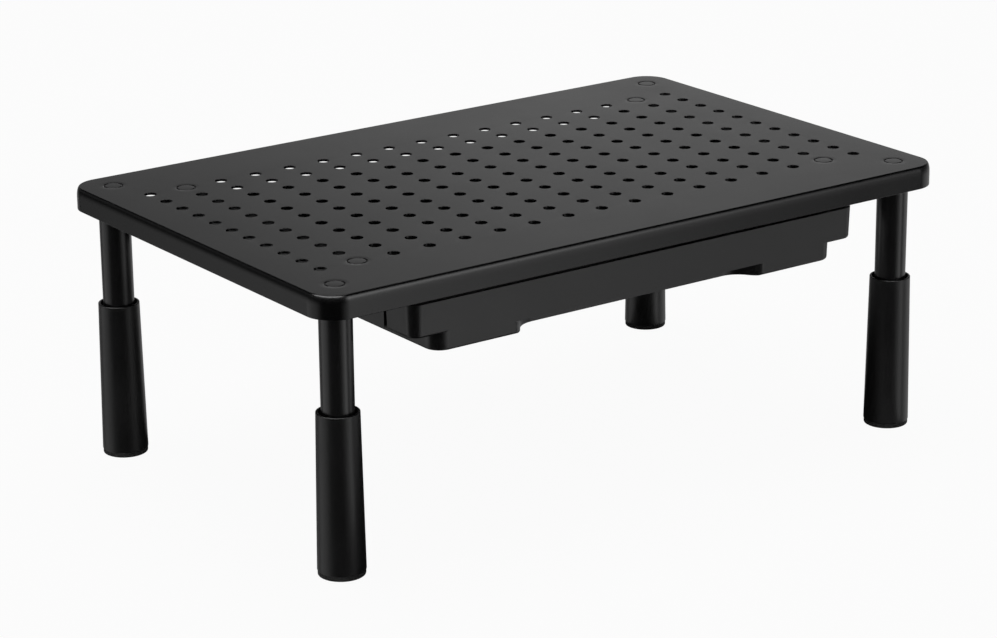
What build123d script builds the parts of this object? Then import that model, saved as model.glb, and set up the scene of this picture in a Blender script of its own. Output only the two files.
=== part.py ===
from build123d import *
import os

# Monitor stand with a drawer: a perforated steel platform on four telescopic legs,
# with a moulded pull-out tray that runs in two rails under the front edge.
# Millimetres, +Z up, +X along the long side, -Y is the front where the drawer pulls out.
# The origin is on the desk under the middle of the stand, with the legs drawn out to
# their full height and the drawer shut.

# Platform: one sheet with a skirt bent down all round
stand_height = 140.0
platform_width = 370.0
platform_depth = 236.0
platform_corner = 14.5
sheet = 1.2
skirt_height = 11.5
bend_radius = 1.8

# Ventilation holes: a straight grid, with the rail studs in four of its places; the margins
# go from the platform's edges to the middles of the outermost holes
vent_diameter = 6.0
vent_columns = 17
vent_rows = 11
vent_margin_side = 23.8
vent_margin_front = 40.05
vent_margin_rear = 42.45

# Flush-head studs, pressed into the sheet from above and coated over with it
stud_head_diameter = 8.8
stud_head_depth = 0.8
stud_diameter = 5.0
leg_stud_length = 17.0
rail_stud_length = 8.0
press_clearance = 0.03
nut_across_flats = 8.0
nut_height = 4.0

# Telescopic legs
leg_inset_x = 17.0
leg_inset_y = 17.5
leg_step = 20.0
leg_steps = 2
column_diameter = 15.7
column_wall = 1.2
column_insert_length = 20.0
sleeve_height = 79.5
sleeve_top_diameter = 20.6
sleeve_base_diameter = 23.0
sleeve_bore = 18.4
sleeve_rim_round = 0.4
running_clearance = 0.08
guide_bush_length = 26.0
guide_bush_floor = 2.0
detent_ring_height = 1.8
detent_ring_depth = 0.9
detent_ring_gap = 1.8
detent_groove_depth = 0.35
mouth_depth = 3.4
collar_height = 2.4
collar_groove_depth = 0.4
seat_clearance = 0.3
foot_height = 2.5
foot_round = 0.6
foot_spigot_height = 3.5
foot_inset = 0.25

# Drawer: a stepped tray, wide where it runs in the rails and narrow below them
drawer_travel = 150.0
drawer_setback = 7.0
drawer_side_inset = 51.5
drawer_rear_inset = 20.0
rim_drop = 15.4
shoulder_drop = 31.6
base_drop = 40.3
base_step = 12.0
front_corner = 6.0
base_corner = 9.0
rear_corner = 6.0
front_draft = 2.0
tray_wall = 2.0
cover_edge_round = 1.5
base_edge_round = 1.2
cover_length = 21.9
cover_gap = 1.4
side_clearance = 0.6
rim_clearance = 0.3

# Finger recess in the middle of the drawer's front edge
recess_half_width = 71.0
recess_depth = 11.8
recess_height = 6.3
recess_scoop = 13.0
recess_lip_round = 12.0
lip_thickness = 3.0
pocket_half_width = 50.0
pocket_rise = 5.0

# Rails: moulded channels under the platform, bolted to the studs through an outer flange
rail_wall = 2.0
rail_rear_inset = 31.0
rail_flange_thickness = 1.8
rail_flange_width = 17.6
rail_lip_height = 7.6
rail_ledge_thickness = 1.8
rail_guide_width = 4.2
rail_guide_thickness = 1.8
rail_stud_offset = 7.55
stop_tab_width = 6.5
stop_tab_length = 4.0
stop_lug_length = 4.0
stop_lug_rise = 2.4
stop_lug_depth = 6.0
stop_clearance = 0.5

# Points closer to a plane than this are taken as lying on it
pick_tolerance = 0.01

# Places that follow from the sizes above
front_edge = -platform_depth / 2
rear_edge = platform_depth / 2
underside = stand_height - sheet
leg_x = platform_width / 2 - leg_inset_x
leg_y = platform_depth / 2 - leg_inset_y
vent_front_y = front_edge + vent_margin_front
vent_rear_y = rear_edge - vent_margin_rear
vent_pitch_x = (platform_width - 2 * vent_margin_side) / (vent_columns - 1)
vent_pitch_y = (vent_rear_y - vent_front_y) / (vent_rows - 1)
vent_middle = Location((0, (vent_front_y + vent_rear_y) / 2))
rim_z = stand_height - rim_drop
shoulder_z = stand_height - shoulder_drop
base_z = stand_height - base_drop
front_y = front_edge + drawer_setback
front_half_width = platform_width / 2 - drawer_side_inset
base_half_width = front_half_width - base_step
drawer_rear_y = rear_edge - drawer_rear_inset
cover_rear_y = front_y + cover_length
rail_front_y = cover_rear_y + cover_gap
rail_rear_y = rear_edge - rail_rear_inset
rail_inner = front_half_width - rail_wall
ledge_top = shoulder_z + rail_ledge_thickness
runner_half_width = rail_inner - side_clearance
rail_stud_x = front_half_width + rail_stud_offset
guide_underside = rim_z + rim_clearance
column_radius = column_diameter / 2
bore_radius = sleeve_bore / 2
bush_radius = bore_radius - running_clearance
collar_top = sleeve_height - mouth_depth
collar_base = collar_top - collar_height
bush_top = collar_base - seat_clearance
bush_base = bush_top - guide_bush_length
column_base = bush_base + guide_bush_floor
ring_z = bush_base + guide_bush_length / 2
recess_rear_y = front_y + recess_depth
recess_z = base_z + recess_height
recess_overrun = 2 * recess_scoop
stop_tab_rear_y = rail_front_y + stop_tab_length
stop_lug_front_y = stop_tab_rear_y + drawer_travel
stop_lug_outer = rail_inner - rail_guide_width - stop_clearance
stop_lug_inner = stop_lug_outer - stop_tab_width + stop_clearance

os.makedirs("parts", exist_ok=True)


def save(builder, name):
    """Label a finished piece and write it as its own STEP file."""
    builder.part.label = name
    export_step(builder.part, "parts/" + name + ".step")


# Places of the repeated features on the platform
leg_spots = {
    "front_left": (-leg_x, -leg_y),
    "front_right": (leg_x, -leg_y),
    "rear_left": (-leg_x, leg_y),
    "rear_right": (leg_x, leg_y),
}
rail_stud_spots = [(side * rail_stud_x, y) for side in (-1, 1) for y in (vent_front_y, vent_rear_y)]


def under_rail_stud(spot):
    """A vent place is left out where a rail stud's head takes it."""
    return any(
        abs(spot.position.X - x) < vent_pitch_x / 2 and abs(spot.position.Y - y) < vent_pitch_y / 2
        for x, y in rail_stud_spots
    )


vent_grid = GridLocations(vent_pitch_x, vent_pitch_y, vent_columns, vent_rows)
vent_spots = [
    vent_middle * spot for spot in vent_grid.locations if not under_rail_stud(vent_middle * spot)
]

# Platform: the pressed sheet, its vents and the recesses for the flush heads
with BuildPart() as platform:
    with BuildSketch(Plane.XY.offset(stand_height - skirt_height)):
        RectangleRounded(platform_width, platform_depth, platform_corner)
    extrude(amount=skirt_height)
    fillet(platform.faces().sort_by(Axis.Z)[-1].edges(), bend_radius)
    offset(amount=-sheet, openings=platform.faces().sort_by(Axis.Z)[0])
    with BuildSketch(Plane.XY.offset(stand_height)):
        with Locations(*vent_spots):
            Circle(vent_diameter / 2)
        with Locations(*leg_spots.values(), *rail_stud_spots):
            Circle(stud_diameter / 2 + press_clearance)
    extrude(amount=-sheet, mode=Mode.SUBTRACT)
    with BuildSketch(Plane.XY.offset(stand_height)):
        with Locations(*leg_spots.values(), *rail_stud_spots):
            Circle(stud_head_diameter / 2 + press_clearance)
    extrude(amount=-stud_head_depth, mode=Mode.SUBTRACT)
save(platform, "platform")


def flush_studs(name, spots, length):
    """A group of pressed studs: the flat head fills its recess in the sheet."""
    with BuildPart() as studs:
        with BuildSketch(Plane.XY.offset(stand_height)):
            with Locations(*spots):
                Circle(stud_head_diameter / 2)
        extrude(amount=-stud_head_depth)
        with BuildSketch(Plane.XY.offset(stand_height - stud_head_depth)):
            with Locations(*spots):
                Circle(stud_diameter / 2)
        extrude(amount=-length)
    save(studs, name)


flush_studs("leg_studs", list(leg_spots.values()), leg_stud_length)
flush_studs("rail_studs", rail_stud_spots, rail_stud_length)

# Nuts that hold the rails up on their studs
with BuildPart() as rail_nuts:
    with BuildSketch(Plane.XY.offset(underside - rail_flange_thickness)):
        with Locations(*rail_stud_spots):
            RegularPolygon(nut_across_flats / 2, 6, major_radius=False)
            Circle(stud_diameter / 2 + press_clearance, mode=Mode.SUBTRACT)
    extrude(amount=-nut_height)
save(rail_nuts, "rail_nuts")


def sleeve_radius(height):
    """Outer radius of the tapered sleeve at a height over the desk."""
    share = (height - foot_height) / (sleeve_height - foot_height)
    return (sleeve_base_diameter + share * (sleeve_top_diameter - sleeve_base_diameter)) / 2


def make_leg(corner, x, y):
    """One telescopic leg: column, insert, guide bush and ring above, sleeve, collar and foot below."""
    axis = Plane((x, y, 0))
    section = Plane((x, y, 0), x_dir=(1, 0, 0), z_dir=(0, -1, 0))

    # Column: a straight steel tube whose top end seats on the sheet
    with BuildPart() as column:
        with BuildSketch(axis.offset(column_base)):
            Circle(column_radius)
            Circle(column_radius - column_wall, mode=Mode.SUBTRACT)
        extrude(amount=underside - column_base)
    save(column, corner + "_column")

    # Insert: the plug pressed into the column's top, screwed on to the leg stud
    with BuildPart() as insert:
        with BuildSketch(axis.offset(underside)):
            Circle(column_radius - column_wall - press_clearance)
            Circle(stud_diameter / 2 + press_clearance, mode=Mode.SUBTRACT)
        extrude(amount=-column_insert_length)
        chamfer(insert.faces().sort_by(Axis.Z)[0].outer_wire().edges(), column_wall)
    save(insert, corner + "_column_insert")

    # Guide bush: slides in the sleeve, closed under the column's end, grooved for the ring
    with BuildPart() as guide_bush:
        with BuildSketch(section):
            with Locations((bush_radius / 2, (bush_base + bush_top) / 2)):
                Rectangle(bush_radius, guide_bush_length)
            with Locations(((column_radius + press_clearance) / 2, (column_base + bush_top) / 2)):
                Rectangle(column_radius + press_clearance, bush_top - column_base, mode=Mode.SUBTRACT)
            with Locations((bush_radius - detent_ring_depth / 2, ring_z)):
                Rectangle(detent_ring_depth, detent_ring_height, mode=Mode.SUBTRACT)
        revolve(axis=Axis((x, y, 0), (0, 0, 1)))
    save(guide_bush, corner + "_guide_bush")

    # Detent ring: a split spring ring, drawn as it is while it is squeezed between two stops
    with BuildPart() as detent_ring:
        with BuildSketch(axis.offset(ring_z - detent_ring_height / 2)):
            Circle(bush_radius)
            Circle(bush_radius - detent_ring_depth + press_clearance, mode=Mode.SUBTRACT)
            Rectangle(
                bush_radius,
                detent_ring_gap,
                align=(Align.MIN, Align.CENTER),
                mode=Mode.SUBTRACT,
            )
        extrude(amount=detent_ring_height)
    save(detent_ring, corner + "_detent_ring")

    # Sleeve: tapered outside, straight bore with one groove for each height of the stand
    with BuildPart() as sleeve:
        with BuildSketch(section):
            with BuildLine():
                Polyline(
                    (bore_radius, foot_height),
                    (sleeve_radius(foot_height), foot_height),
                    (sleeve_radius(sleeve_height), sleeve_height),
                    (bore_radius, sleeve_height),
                    close=True,
                )
            make_face()
            for step in range(leg_steps + 1):
                with Locations((bore_radius, ring_z - step * leg_step)):
                    Rectangle(
                        2 * detent_groove_depth,
                        detent_ring_height + 2 * detent_groove_depth,
                        mode=Mode.SUBTRACT,
                    )
            with Locations((bore_radius, (collar_base + collar_top) / 2)):
                Rectangle(2 * collar_groove_depth, collar_height, mode=Mode.SUBTRACT)
        revolve(axis=Axis((x, y, 0), (0, 0, 1)))
        fillet(sleeve.faces().sort_by(Axis.Z)[-1].edges(), sleeve_rim_round)
    save(sleeve, corner + "_sleeve")

    # Collar: snapped into the sleeve below its mouth, it guides the column and keeps the bush in
    with BuildPart() as collar:
        with BuildSketch(axis.offset(collar_base)):
            Circle(bore_radius + collar_groove_depth - press_clearance)
            Circle(column_radius + running_clearance, mode=Mode.SUBTRACT)
        extrude(amount=collar_height)
    save(collar, corner + "_collar")

    # Foot: a rubber disc that plugs the sleeve's lower end and grips the desk
    with BuildPart() as foot:
        with BuildSketch(axis):
            Circle(sleeve_base_diameter / 2 - foot_inset)
        extrude(amount=foot_height)
        fillet(foot.faces().sort_by(Axis.Z)[0].edges(), foot_round)
        with BuildSketch(axis.offset(foot_height)):
            Circle(bore_radius - press_clearance)
        extrude(amount=foot_spigot_height)
    save(foot, corner + "_foot")


for corner, (x, y) in leg_spots.items():
    make_leg(corner, x, y)


def make_rail(name, side):
    """One rail, drawn for the right-hand side and mirrored for the left."""
    flange_edge = front_half_width + rail_flange_width
    ledge_edge = base_half_width + side_clearance
    guide_edge = rail_inner - rail_guide_width
    with BuildPart() as rail:
        with BuildSketch(Plane.XZ.offset(-rail_front_y)):
            with BuildLine():
                Polyline(
                    (rail_inner, underside),
                    (flange_edge, underside),
                    (flange_edge, underside - rail_lip_height),
                    (flange_edge - rail_wall, underside - rail_lip_height),
                    (flange_edge - rail_wall, underside - rail_flange_thickness),
                    (front_half_width, underside - rail_flange_thickness),
                    (front_half_width, shoulder_z),
                    (ledge_edge, shoulder_z),
                    (ledge_edge, ledge_top),
                    (rail_inner, ledge_top),
                    (rail_inner, guide_underside),
                    (guide_edge, guide_underside),
                    (guide_edge, guide_underside + rail_guide_thickness),
                    (rail_inner, guide_underside + rail_guide_thickness),
                    close=True,
                )
            make_face()
        extrude(amount=-(rail_rear_y - rail_front_y))
        # the tab that stops the drawer's lug stands in from the front end of the guide
        with BuildSketch(Plane.XY.offset(guide_underside)):
            with Locations((guide_edge, rail_front_y)):
                Rectangle(stop_tab_width, stop_tab_length, align=(Align.MAX, Align.MIN))
        extrude(amount=rail_guide_thickness)
        with BuildSketch(Plane.XY.offset(underside)):
            with Locations(*[spot for spot in rail_stud_spots if spot[0] > 0]):
                Circle(stud_diameter / 2 + press_clearance)
        extrude(amount=-rail_flange_thickness, mode=Mode.SUBTRACT)
        if side < 0:
            mirror(about=Plane.YZ, mode=Mode.REPLACE)
    save(rail, name)


make_rail("left_rail", -1)
make_rail("right_rail", 1)


def plan_outline(half_width, front, rear, front_round=0.0, rear_round=0.0):
    """The drawer seen from above at one level: a rectangle with its own corner radii."""
    with BuildSketch() as outline:
        with Locations((0, front)):
            Rectangle(2 * half_width, rear - front, align=(Align.CENTER, Align.MIN))
        if rear_round > 0:
            fillet(outline.vertices().group_by(Axis.Y)[-1], rear_round)
        if front_round > 0:
            fillet(outline.vertices().group_by(Axis.Y)[0], front_round)
    return outline.sketch


# Outlines of the drawer's three levels, outside and inside its wall
cover_outline = plan_outline(front_half_width, front_y, cover_rear_y, front_corner)
runner_outline = plan_outline(
    runner_half_width, cover_rear_y - tray_wall, drawer_rear_y, rear_round=rear_corner
)
base_outline = plan_outline(base_half_width, front_y, drawer_rear_y, base_corner, rear_corner)
cover_inside = plan_outline(
    front_half_width - tray_wall,
    front_y + tray_wall,
    cover_rear_y - tray_wall,
    front_corner - tray_wall,
)
runner_inside = plan_outline(
    runner_half_width - tray_wall,
    cover_rear_y - 2 * tray_wall,
    drawer_rear_y - tray_wall,
    rear_round=rear_corner - tray_wall,
)
base_inside = plan_outline(
    base_half_width - tray_wall,
    front_y + tray_wall,
    drawer_rear_y - tray_wall,
    base_corner - tray_wall,
    rear_corner - tray_wall,
)

# Finger recess from below: its scooped ends run out round the front edge, and the outline
# goes on past the drawer's front by the overrun
with BuildSketch() as scoop:
    with Locations((0, recess_rear_y)):
        RectangleRounded(
            2 * recess_half_width,
            recess_depth + recess_overrun,
            recess_scoop,
            align=(Align.CENTER, Align.MAX),
        )
    with Locations((0, front_y)):
        Rectangle(
            2 * (recess_half_width + recess_scoop), recess_overrun, align=(Align.CENTER, Align.MAX)
        )
    front_points = [point for point in scoop.vertices() if abs(point.Y - front_y) < pick_tolerance]
    fillet(ShapeList(front_points).sort_by(lambda point: abs(point.X))[:2], recess_lip_round)

# The moulded shell that stands over the recess inside the tray
with BuildSketch() as scoop_shell:
    with Locations((0, recess_rear_y + tray_wall)):
        RectangleRounded(
            2 * (recess_half_width + tray_wall),
            recess_depth + recess_overrun + 2 * tray_wall,
            recess_scoop + tray_wall,
            align=(Align.CENTER, Align.MAX),
        )
    with Locations((0, front_y + tray_wall / 2)):
        Rectangle(
            2 * front_half_width,
            recess_overrun + 2 * tray_wall,
            align=(Align.CENTER, Align.MAX),
            mode=Mode.SUBTRACT,
        )

# Drawer: one moulding with a front cover, a runner section and a narrower base
with BuildPart() as drawer:
    with BuildSketch(Plane.XY.offset(rim_z)):
        add(cover_outline)
    extrude(amount=-(rim_z - shoulder_z), taper=front_draft)
    cover_edges = drawer.faces().sort_by(Axis.Z)[0].edges().sort_by(Axis.Y)
    fillet(cover_edges[:-1], cover_edge_round)
    with BuildSketch(Plane.XY.offset(rim_z)):
        add(base_outline)
    extrude(amount=-(rim_z - base_z), taper=front_draft)
    fillet(drawer.faces().sort_by(Axis.Z)[0].edges(), base_edge_round)
    with BuildSketch(Plane.XY.offset(rim_z)):
        add(runner_outline)
    extrude(amount=-(rim_z - ledge_top))
    # hollow it level by level
    with BuildSketch(Plane.XY.offset(rim_z)):
        add(cover_inside)
    extrude(amount=-(rim_z - shoulder_z - tray_wall), taper=front_draft, mode=Mode.SUBTRACT)
    with BuildSketch(Plane.XY.offset(rim_z)):
        add(runner_inside)
    extrude(amount=-(rim_z - ledge_top - tray_wall), mode=Mode.SUBTRACT)
    with BuildSketch(Plane.XY.offset(rim_z)):
        add(base_inside)
    extrude(amount=-(rim_z - base_z - tray_wall), taper=front_draft, mode=Mode.SUBTRACT)
    # finger recess: shell over it, then the scoop and the pocket behind the lip
    with BuildSketch(Plane.XY.offset(base_z + tray_wall / 2)):
        add(scoop_shell.sketch)
    extrude(amount=recess_height + tray_wall / 2)
    with BuildSketch(Plane.XY.offset(base_z + tray_wall / 2)):
        with Locations((0, recess_rear_y + tray_wall)):
            Rectangle(
                2 * (pocket_half_width + tray_wall),
                recess_depth,
                align=(Align.CENTER, Align.MAX),
            )
    extrude(amount=recess_height + pocket_rise + tray_wall / 2)
    with BuildSketch(Plane.XY.offset(base_z)):
        add(scoop.sketch)
    extrude(amount=recess_height, mode=Mode.SUBTRACT)
    with BuildSketch(Plane.XY.offset(recess_z)):
        with Locations((0, recess_rear_y)):
            Rectangle(
                2 * pocket_half_width,
                recess_depth - lip_thickness,
                align=(Align.CENTER, Align.MAX),
            )
    extrude(amount=pocket_rise, mode=Mode.SUBTRACT)
    # lugs on the rim that meet the rails' tabs when the drawer is pulled right out
    with BuildSketch(Plane.XZ.offset(-stop_lug_front_y)):
        with BuildLine():
            Polyline(
                (runner_half_width - tray_wall / 2, rim_z),
                (stop_lug_outer, rim_z),
                (stop_lug_outer, rim_z + stop_lug_rise),
                (stop_lug_inner, rim_z + stop_lug_rise),
                (stop_lug_inner, rim_z - stop_lug_rise),
                (runner_half_width - tray_wall / 2, rim_z - stop_lug_depth),
                close=True,
            )
        make_face()
        mirror(about=Plane.YZ)
    extrude(amount=-stop_lug_length)
save(drawer, "drawer")
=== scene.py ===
# %% [markdown]
# A monitor stand with a drawer, dressed for its picture.
# The real thing is a black powder-coated steel sheet on four telescopic legs. A moulded tray
# runs in two rails under its front edge.
# The engineering model comes first, as a fixed frame: it says where each piece is and how it
# moves. This lesson then rebuilds the pieces that show, with fine rounded edges, and gives
# each finish its own procedural material.

# %% Load the frame
import math

import bmesh
import bpy
from mathutils import Matrix, Vector


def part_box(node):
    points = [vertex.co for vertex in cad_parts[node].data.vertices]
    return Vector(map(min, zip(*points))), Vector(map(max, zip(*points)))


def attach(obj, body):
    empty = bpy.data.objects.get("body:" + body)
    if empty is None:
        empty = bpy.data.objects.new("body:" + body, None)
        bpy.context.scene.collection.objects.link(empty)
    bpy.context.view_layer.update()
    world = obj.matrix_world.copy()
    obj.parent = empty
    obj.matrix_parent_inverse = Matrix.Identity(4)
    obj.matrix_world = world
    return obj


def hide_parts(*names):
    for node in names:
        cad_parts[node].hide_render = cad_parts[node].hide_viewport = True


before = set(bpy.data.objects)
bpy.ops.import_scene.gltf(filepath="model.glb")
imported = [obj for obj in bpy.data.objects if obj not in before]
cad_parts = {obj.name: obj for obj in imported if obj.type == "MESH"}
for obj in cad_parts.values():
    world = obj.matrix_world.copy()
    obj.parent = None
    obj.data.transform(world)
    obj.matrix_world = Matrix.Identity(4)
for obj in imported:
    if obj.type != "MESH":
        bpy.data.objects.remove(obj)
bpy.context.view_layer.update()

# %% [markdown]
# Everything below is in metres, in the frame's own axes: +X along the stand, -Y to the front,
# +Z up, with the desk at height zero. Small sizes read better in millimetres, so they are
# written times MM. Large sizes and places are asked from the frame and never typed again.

MM = 0.001
CORNERS = ("front_left", "front_right", "rear_left", "rear_right")


def node_middle(node):
    """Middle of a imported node's box."""
    low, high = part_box(node)
    return (low + high) / 2


plate_low, plate_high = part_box("platform")
DESK_TO_TOP = plate_high.z
print("platform", [round(size / MM, 1) for size in plate_high - plate_low], "mm")

# %% [markdown]
# The camera stands a little over a metre and a half away and looks down at the front left
# corner through a long lens. Its place was solved from the straight edges and the grid of
# holes in the photograph. A camera looks along its own -Z with +Y up, so the three columns of
# its matrix are the picture's right, up and backward directions.

# %% Camera
PICTURE_WIDTH = 997
FOCAL_LENGTH_PIXELS = 3236.8
SENSOR_WIDTH = 36.0
CAMERA_PLACE = Vector((-911.5, -1265.3, 579.8)) * MM
CAMERA_YAW = math.radians(35.588)
CAMERA_PITCH = math.radians(-18.331)
CAMERA_ROLL = math.radians(0.542)


def camera_axes(yaw, pitch, roll):
    """Right, down and forward directions of a camera turned by these angles."""
    forward = Vector((
        math.sin(yaw) * math.cos(pitch),
        math.cos(yaw) * math.cos(pitch),
        math.sin(pitch),
    ))
    level_right = Vector((math.cos(yaw), -math.sin(yaw), 0.0))
    level_down = forward.cross(level_right)
    right = math.cos(roll) * level_right + math.sin(roll) * level_down
    down = math.cos(roll) * level_down - math.sin(roll) * level_right
    return right, down, forward


right, down, forward = camera_axes(CAMERA_YAW, CAMERA_PITCH, CAMERA_ROLL)
camera_data = bpy.data.cameras.new("camera")
camera_data.sensor_width = SENSOR_WIDTH
camera_data.lens = FOCAL_LENGTH_PIXELS * SENSOR_WIDTH / PICTURE_WIDTH
camera = bpy.data.objects.new("camera", camera_data)
bpy.context.scene.collection.objects.link(camera)
camera.matrix_world = Matrix((right, -down, -forward)).transposed().to_4x4()
camera.location = CAMERA_PLACE
bpy.context.scene.camera = camera
bpy.context.scene.view_settings.view_transform = "Standard"
print("lens", round(camera_data.lens, 1), "mm")

# %% [markdown]
# Finishes. Every part of the stand is black, so what tells them apart is not colour but how
# they shine. Powder coat has a faint orange peel and is satin. Moulded plastic carries the
# fine eroded grain of its mould. Rubber is dull. Three effects are shared by most of them, so
# each is a node group, built once: a fine grain for the bump, slow patches that vary colour
# and gloss over a few centimetres, and a mask that finds the edges where coats get rubbed.

# %% Shader group helpers
def new_group(name, inputs, outputs):
    """An empty shader group with named sockets; its input and output nodes come with it."""
    group = bpy.data.node_groups.new(name, "ShaderNodeTree")
    for socket, kind, value in inputs:
        made = group.interface.new_socket(name=socket, in_out="INPUT", socket_type=kind)
        if value is not None:
            made.default_value = value
    for socket, kind in outputs:
        group.interface.new_socket(name=socket, in_out="OUTPUT", socket_type=kind)
    return group, group.nodes.new("NodeGroupInput"), group.nodes.new("NodeGroupOutput")


def math_node(tree, operation, first, second=None):
    """A Math node; its operands are sockets or numbers."""
    node = tree.nodes.new("ShaderNodeMath")
    node.operation = operation
    for socket, value in zip(node.inputs, (first, second)):
        if isinstance(value, bpy.types.NodeSocket):
            tree.links.new(value, socket)
        elif value is not None:
            socket.default_value = value
    return node.outputs["Value"]


def mix_floats(tree, factor, low, high):
    """Low where the factor is 0 and high where it is 1."""
    node = tree.nodes.new("ShaderNodeMapRange")
    tree.links.new(factor, node.inputs["Value"])
    for socket, value in (("To Min", low), ("To Max", high)):
        if isinstance(value, bpy.types.NodeSocket):
            tree.links.new(value, node.inputs[socket])
        else:
            node.inputs[socket].default_value = value
    return node.outputs["Result"]


# %% Group: fine grain
def build_grain_group():
    """Two noises, one a few times coarser than the other, as a height from 0 to 1."""
    group, source, result = new_group(
        "surface_grain",
        [("Vector", "NodeSocketVector", None), ("Size", "NodeSocketFloat", 0.4 * MM)],
        [("Height", "NodeSocketFloat")],
    )
    coarse_share = 0.35
    coarse_factor = 3.7
    fine_scale = math_node(group, "DIVIDE", 1.0, source.outputs["Size"])
    coarse_scale = math_node(group, "DIVIDE", fine_scale, coarse_factor)
    heights = []
    for scale in (fine_scale, coarse_scale):
        noise = group.nodes.new("ShaderNodeTexNoise")
        noise.inputs["Detail"].default_value = 2.0
        group.links.new(source.outputs["Vector"], noise.inputs["Vector"])
        group.links.new(scale, noise.inputs["Scale"])
        heights.append(noise.outputs["Fac"])
    fine = math_node(group, "MULTIPLY", heights[0], 1.0 - coarse_share)
    coarse = math_node(group, "MULTIPLY", heights[1], coarse_share)
    group.links.new(math_node(group, "ADD", fine, coarse), result.inputs["Height"])
    return group


# %% Group: slow patches
def build_patch_group():
    """A slow cloudy mask from 0 to 1, for small changes of colour and gloss."""
    group, source, result = new_group(
        "slow_patches",
        [("Vector", "NodeSocketVector", None), ("Size", "NodeSocketFloat", 40 * MM)],
        [("Mask", "NodeSocketFloat")],
    )
    noise = group.nodes.new("ShaderNodeTexNoise")
    noise.inputs["Detail"].default_value = 4.0
    noise.inputs["Roughness"].default_value = 0.6
    group.links.new(source.outputs["Vector"], noise.inputs["Vector"])
    scale = math_node(group, "DIVIDE", 1.0, source.outputs["Size"])
    group.links.new(scale, noise.inputs["Scale"])
    stretch = group.nodes.new("ShaderNodeMapRange")
    stretch.inputs["From Min"].default_value = 0.3
    stretch.inputs["From Max"].default_value = 0.7
    group.links.new(noise.outputs["Fac"], stretch.inputs["Value"])
    group.links.new(stretch.outputs["Result"], result.inputs["Mask"])
    return group


# %% Group: rubbed edges
def build_edge_group():
    """Near an edge a rounded normal leaves the true one, and that difference is the mask."""
    group, source, result = new_group(
        "rubbed_edges",
        [("Vector", "NodeSocketVector", None), ("Reach", "NodeSocketFloat", 0.5 * MM)],
        [("Mask", "NodeSocketFloat")],
    )
    full_difference = 0.12
    wear_scale = 260.0
    bevel = group.nodes.new("ShaderNodeBevel")
    bevel.samples = 4
    group.links.new(source.outputs["Reach"], bevel.inputs["Radius"])
    geometry = group.nodes.new("ShaderNodeNewGeometry")
    dot = group.nodes.new("ShaderNodeVectorMath")
    dot.operation = "DOT_PRODUCT"
    group.links.new(bevel.outputs["Normal"], dot.inputs[0])
    group.links.new(geometry.outputs["Normal"], dot.inputs[1])
    difference = math_node(group, "SUBTRACT", 1.0, dot.outputs["Value"])
    edge = math_node(group, "DIVIDE", difference, full_difference)
    broken = group.nodes.new("ShaderNodeTexNoise")
    broken.inputs["Scale"].default_value = wear_scale
    group.links.new(source.outputs["Vector"], broken.inputs["Vector"])
    mask = group.nodes.new("ShaderNodeMath")
    mask.operation = "MULTIPLY"
    mask.use_clamp = True
    group.links.new(edge, mask.inputs[0])
    group.links.new(broken.outputs["Fac"], mask.inputs[1])
    group.links.new(mask.outputs["Value"], result.inputs["Mask"])
    return group


GRAIN = build_grain_group()
PATCHES = build_patch_group()
EDGES = build_edge_group()
print("shader groups:", ", ".join(group.name for group in (GRAIN, PATCHES, EDGES)))

# %% [markdown]
# One function makes all the coats and plastics, because they differ in numbers and not in
# kind: a dark base, a little lighter in patches and on rubbed edges, with a roughness that
# follows the same masks and a bump from the grain. The shader's constant settings, such as
# its specular level, are set straight on its sockets.

# %% Finish builder
def place_group(tree, group, coordinates, **sizes):
    """Put a shared group into a material, fed with object coordinates and its own sizes."""
    node = tree.nodes.new("ShaderNodeGroup")
    node.node_tree = group
    tree.links.new(coordinates, node.inputs["Vector"])
    for socket, size in sizes.items():
        node.inputs[socket].default_value = size
    return node


PATCH_SIZE = 45 * MM
PATCH_GAIN = 0.25
EDGE_REACH = 0.6 * MM
EDGE_POLISH = 0.8


def black_finish(
    name,
    base,
    rubbed,
    roughness,
    grain_size,
    grain_depth,
    roughness_spread=0.08,
    specular=0.5,
    metallic=0.0,
):
    """A dark procedural finish: base and rubbed are greys with a slight tint."""
    material = bpy.data.materials.new(name)
    material.use_nodes = True
    tree = material.node_tree
    shader = tree.nodes["Principled BSDF"]
    coordinates = tree.nodes.new("ShaderNodeTexCoord").outputs["Object"]
    grain = place_group(tree, GRAIN, coordinates, Size=grain_size)
    patches = place_group(tree, PATCHES, coordinates, Size=PATCH_SIZE)
    edges = place_group(tree, EDGES, coordinates, Reach=EDGE_REACH)

    shade = tree.nodes.new("ShaderNodeMix")
    shade.data_type = "RGBA"
    shade.inputs["A"].default_value = (*base, 1.0)
    shade.inputs["B"].default_value = (*[channel * (1 + PATCH_GAIN) for channel in base], 1.0)
    tree.links.new(patches.outputs["Mask"], shade.inputs["Factor"])
    colour = tree.nodes.new("ShaderNodeMix")
    colour.data_type = "RGBA"
    colour.inputs["B"].default_value = (*rubbed, 1.0)
    tree.links.new(shade.outputs["Result"], colour.inputs["A"])
    tree.links.new(edges.outputs["Mask"], colour.inputs["Factor"])
    tree.links.new(colour.outputs["Result"], shader.inputs["Base Color"])

    dull = mix_floats(tree, patches.outputs["Mask"], roughness, roughness + roughness_spread)
    polished = math_node(tree, "MULTIPLY", dull, EDGE_POLISH)
    tree.links.new(mix_floats(tree, edges.outputs["Mask"], dull, polished), shader.inputs["Roughness"])

    bump = tree.nodes.new("ShaderNodeBump")
    bump.inputs["Distance"].default_value = grain_depth
    tree.links.new(grain.outputs["Height"], bump.inputs["Height"])
    tree.links.new(bump.outputs["Normal"], shader.inputs["Normal"])
    shader.inputs["Specular IOR Level"].default_value = specular
    shader.inputs["Metallic"].default_value = metallic
    return material


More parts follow.
